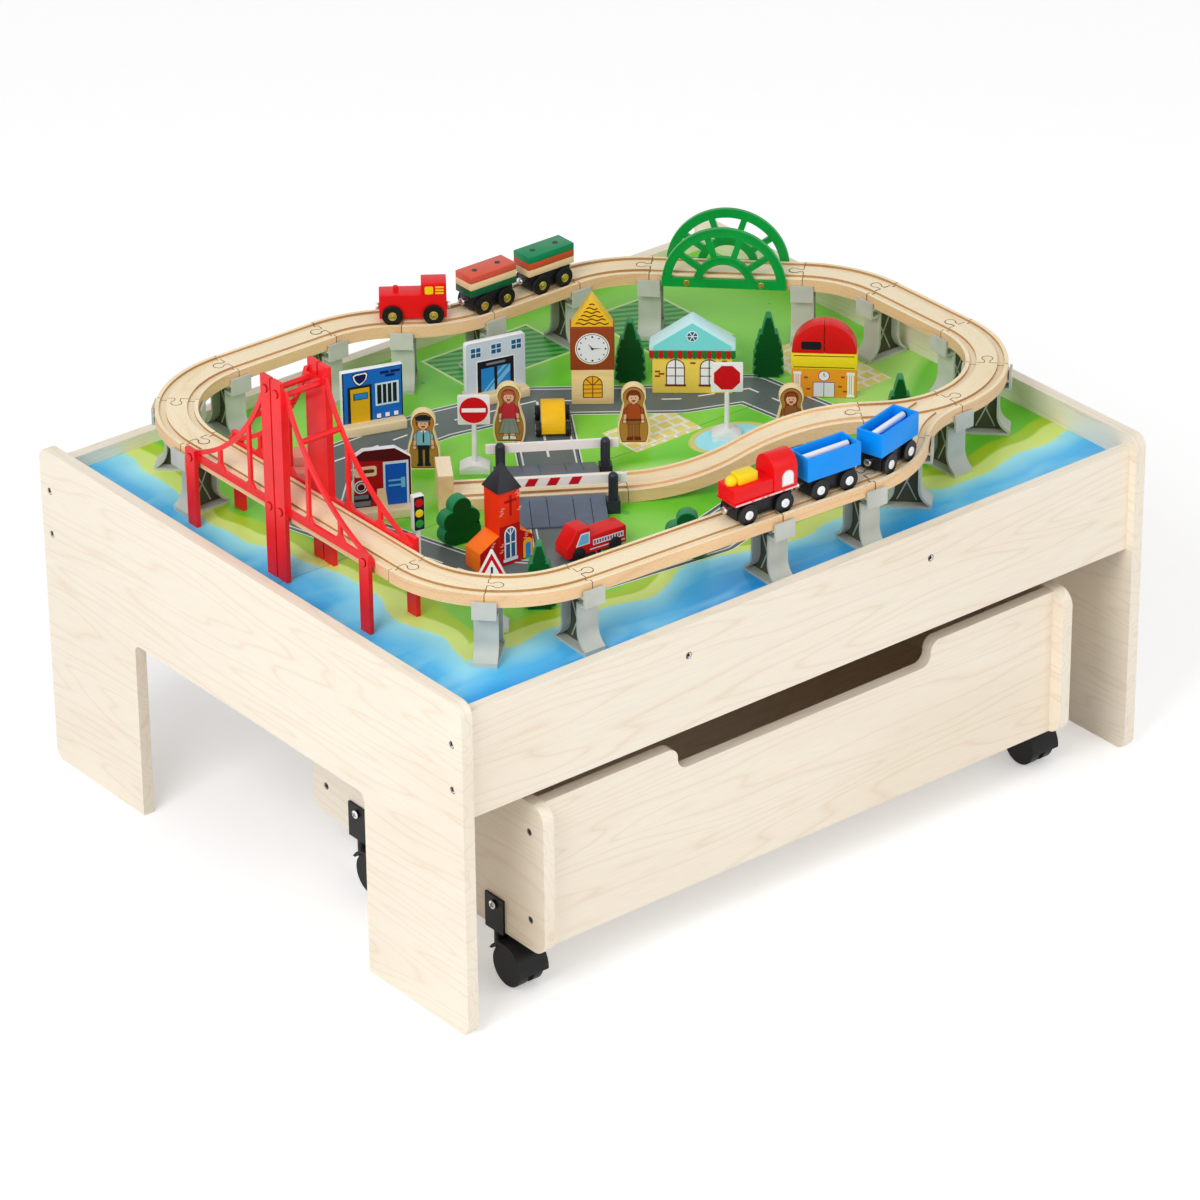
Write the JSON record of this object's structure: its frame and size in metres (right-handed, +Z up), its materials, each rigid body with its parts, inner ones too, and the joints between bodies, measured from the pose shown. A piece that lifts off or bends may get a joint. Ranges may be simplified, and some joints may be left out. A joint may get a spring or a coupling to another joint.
{
  "type": "train table",
  "caption": "Low wooden play table with a raised toy railway loop, bridges, trains, houses and play figures on top and a rolling storage drawer under it.",
  "frame": {"origin": "middle of the table on the floor", "axes": "+X to the right along the front, +Y to the back, +Z up"},
  "size_m": [0.8, 0.64, 0.5043],
  "materials": {
    "laminate": "satin maple-look laminate",
    "play_print": "printed hardboard",
    "dark_steel": "black oxide",
    "beech": "sanded beech",
    "pier_grey": "moulded plastic",
    "bridge_red": "moulded plastic",
    "arch_green": "moulded plastic",
    "brass": "polished",
    "road_grey": "painted wood",
    "post_dark": "moulded plastic",
    "white_paint": "painted wood",
    "house_paint": "painted wood, several colours",
    "tree_green": "painted wood",
    "sign_white": "moulded plastic",
    "figure_wood": "painted wood",
    "car_paint": "painted wood",
    "caster_black": "moulded plastic",
    "bracket_black": "black enamel",
    "train_red": "gloss painted wood",
    "train_blue": "gloss painted wood",
    "train_layers": "painted wood layers",
    "wheel_black": "moulded plastic"
  },
  "bodies": {
    "table": {"end_panel_left": "laminate", "end_panel_right": "laminate", "apron_front": "laminate", "apron_back": "laminate", "board_rails": "laminate", "play_boards": "play_print", "table_bolts": "dark_steel", "track_straights": "beech", "track_curves": "beech", "track_switch": "beech", "track_spur": "beech", "piers": "pier_grey", "bridge_trusses": "bridge_red", "bridge_uprights": "bridge_red", "bridge_bars": "bridge_red", "arch_sides": "arch_green", "arch_screws": "brass", "crossing_ramps": "road_grey", "crossing_posts": "post_dark", "panel_houses": "house_paint", "block_houses": "house_paint", "trees": "tree_green", "road_signs": "sign_white", "figures": "figure_wood", "road_vehicles": "car_paint"},
    "drawer": {"drawer_side_left": "laminate", "drawer_side_right": "laminate", "drawer_front": "laminate", "drawer_back": "laminate", "drawer_bottom": "laminate", "drawer_screws": "dark_steel", "caster_brackets": "bracket_black"},
    "caster_1": {"caster_hood_1": "caster_black"},
    "caster_pair_1": {"caster_wheels_1": "caster_black"},
    "caster_2": {"caster_hood_2": "caster_black"},
    "caster_pair_2": {"caster_wheels_2": "caster_black"},
    "caster_3": {"caster_hood_3": "caster_black"},
    "caster_pair_3": {"caster_wheels_3": "caster_black"},
    "caster_4": {"caster_hood_4": "caster_black"},
    "caster_pair_4": {"caster_wheels_4": "caster_black"},
    "barrier_back": {"barrier_back": "white_paint"},
    "barrier_front": {"barrier_front": "white_paint"},
    "front_engine": {"front_engine": "train_red"},
    "front_hopper_1": {"front_hopper_1": "train_blue"},
    "front_hopper_2": {"front_hopper_2": "train_blue"},
    "back_engine": {"back_engine": "train_red"},
    "back_car_1": {"back_car_1": "train_layers"},
    "back_car_2": {"back_car_2": "train_layers"},
    "front_engine_axle_1": {"front_engine_axle_1": "wheel_black"},
    "front_engine_axle_2": {"front_engine_axle_2": "wheel_black"},
    "front_hopper_1_axle_1": {"front_hopper_1_axle_1": "wheel_black"},
    "front_hopper_1_axle_2": {"front_hopper_1_axle_2": "wheel_black"},
    "front_hopper_2_axle_1": {"front_hopper_2_axle_1": "wheel_black"},
    "front_hopper_2_axle_2": {"front_hopper_2_axle_2": "wheel_black"},
    "back_engine_axle_1": {"back_engine_axle_1": "wheel_black"},
    "back_engine_axle_2": {"back_engine_axle_2": "wheel_black"},
    "back_car_1_axle_1": {"back_car_1_axle_1": "wheel_black"},
    "back_car_1_axle_2": {"back_car_1_axle_2": "wheel_black"},
    "back_car_2_axle_1": {"back_car_2_axle_1": "wheel_black"},
    "back_car_2_axle_2": {"back_car_2_axle_2": "wheel_black"}
  },
  "joints": [
    {"name": "drawer_slide", "type": "slide", "parent": "table", "child": "drawer", "axis": [0, -1, 0], "range_m": [0, 0.3]},
    {"name": "caster_1_swivel", "type": "hinge", "parent": "drawer", "child": "caster_1", "pos_m": [-0.3075, -0.25, 0.04], "axis": [0, 0, 1], "continuous": true},
    {"name": "caster_1_roll", "type": "hinge", "parent": "caster_1", "child": "caster_pair_1", "pos_m": [-0.3075, -0.273, 0.02], "axis": [1, 0, 0], "continuous": true},
    {"name": "caster_2_swivel", "type": "hinge", "parent": "drawer", "child": "caster_2", "pos_m": [0.3075, -0.25, 0.04], "axis": [0, 0, 1], "continuous": true},
    {"name": "caster_2_roll", "type": "hinge", "parent": "caster_2", "child": "caster_pair_2", "pos_m": [0.3075, -0.273, 0.02], "axis": [1, 0, 0], "continuous": true},
    {"name": "caster_3_swivel", "type": "hinge", "parent": "drawer", "child": "caster_3", "pos_m": [-0.3075, -0.047, 0.04], "axis": [0, 0, 1], "continuous": true},
    {"name": "caster_3_roll", "type": "hinge", "parent": "caster_3", "child": "caster_pair_3", "pos_m": [-0.3075, -0.07, 0.02], "axis": [1, 0, 0], "continuous": true},
    {"name": "caster_4_swivel", "type": "hinge", "parent": "drawer", "child": "caster_4", "pos_m": [0.3075, -0.047, 0.04], "axis": [0, 0, 1], "continuous": true},
    {"name": "caster_4_roll", "type": "hinge", "parent": "caster_4", "child": "caster_pair_4", "pos_m": [0.3075, -0.07, 0.02], "axis": [1, 0, 0], "continuous": true},
    {"name": "barrier_back_lift", "type": "hinge", "parent": "table", "child": "barrier_back", "pos_m": [-0.00404, -0.02417, 0.3373], "axis": [0.5446, 0.8387, 0], "range_deg": [0, 80]},
    {"name": "barrier_front_lift", "type": "hinge", "parent": "table", "child": "barrier_front", "pos_m": [-0.04238, -0.08322, 0.3373], "axis": [0.5446, 0.8387, 0], "range_deg": [0, 80]},
    {"name": "front_engine_run", "type": "slide", "parent": "table", "child": "front_engine", "axis": [-0.9986, 0.0523, 0], "range_m": [0, 0.15]},
    {"name": "front_hopper_1_run", "type": "slide", "parent": "table", "child": "front_hopper_1", "axis": [-0.9986, 0.0523, 0], "range_m": [0, 0.15]},
    {"name": "front_hopper_2_run", "type": "hinge", "parent": "table", "child": "front_hopper_2", "pos_m": [0.09533, -0.16498, 0.3763], "axis": [0, 0, 1], "range_deg": [0, 18]},
    {"name": "back_engine_run", "type": "hinge", "parent": "table", "child": "back_engine", "pos_m": [0.04224, 0.33011, 0.3763], "axis": [0, 0, 1], "range_deg": [0, 11.46]},
    {"name": "back_car_1_run", "type": "slide", "parent": "table", "child": "back_car_1", "axis": [1, 0, 0], "range_m": [0, 0.022]},
    {"name": "back_car_2_run", "type": "slide", "parent": "table", "child": "back_car_2", "axis": [1, 0, 0], "range_m": [0, 0.022]},
    {"name": "front_engine_axle_1_roll", "type": "hinge", "parent": "front_engine", "child": "front_engine_axle_1", "pos_m": [-0.04824, -0.26761, 0.3841], "axis": [-0.0523, -0.9986, 0], "continuous": true},
    {"name": "front_engine_axle_2_roll", "type": "hinge", "parent": "front_engine", "child": "front_engine_axle_2", "pos_m": [-0.00829, -0.2697, 0.3841], "axis": [-0.0523, -0.9986, 0], "continuous": true},
    {"name": "front_hopper_1_axle_1_roll", "type": "hinge", "parent": "front_hopper_1", "child": "front_hopper_1_axle_1", "pos_m": [0.03165, -0.27179, 0.3841], "axis": [-0.0523, -0.9986, 0], "continuous": true},
    {"name": "front_hopper_1_axle_2_roll", "type": "hinge", "parent": "front_hopper_1", "child": "front_hopper_1_axle_2", "pos_m": [0.06361, -0.27347, 0.3841], "axis": [-0.0523, -0.9986, 0], "continuous": true},
    {"name": "front_hopper_2_axle_1_roll", "type": "hinge", "parent": "front_hopper_2", "child": "front_hopper_2_axle_1", "pos_m": [0.10848, -0.27419, 0.3841], "axis": [0.2627, -0.9649, 0], "continuous": true},
    {"name": "front_hopper_2_axle_2_roll", "type": "hinge", "parent": "front_hopper_2", "child": "front_hopper_2_axle_2", "pos_m": [0.13936, -0.26578, 0.3841], "axis": [0.2627, -0.9649, 0], "continuous": true},
    {"name": "back_engine_axle_1_roll", "type": "hinge", "parent": "back_engine", "child": "back_engine_axle_1", "pos_m": [-0.03778, 0.25463, 0.3841], "axis": [-0.5943, -0.8043, 0], "continuous": true},
    {"name": "back_engine_axle_2_roll", "type": "hinge", "parent": "back_engine", "child": "back_engine_axle_2", "pos_m": [-0.00641, 0.23145, 0.3841], "axis": [-0.5943, -0.8043, 0], "continuous": true},
    {"name": "back_car_1_axle_1_roll", "type": "hinge", "parent": "back_car_1", "child": "back_car_1_axle_1", "pos_m": [0.03474, 0.22011, 0.3841], "axis": [0, -1, 0], "continuous": true},
    {"name": "back_car_1_axle_2_roll", "type": "hinge", "parent": "back_car_1", "child": "back_car_1_axle_2", "pos_m": [0.06174, 0.22011, 0.3841], "axis": [0, -1, 0], "continuous": true},
    {"name": "back_car_2_axle_1_roll", "type": "hinge", "parent": "back_car_2", "child": "back_car_2_axle_1", "pos_m": [0.10474, 0.22011, 0.3841], "axis": [0, -1, 0], "continuous": true},
    {"name": "back_car_2_axle_2_roll", "type": "hinge", "parent": "back_car_2", "child": "back_car_2_axle_2", "pos_m": [0.13174, 0.22011, 0.3841], "axis": [0, -1, 0], "continuous": true}
  ],
  "couplings": [
    {"joint": "front_hopper_1_run", "follows": "front_engine_run", "ratio": 1},
    {"joint": "back_car_1_run", "follows": "back_engine_run", "m_per_rad": 0.11},
    {"joint": "back_car_2_run", "follows": "back_engine_run", "m_per_rad": 0.11}
  ]
}
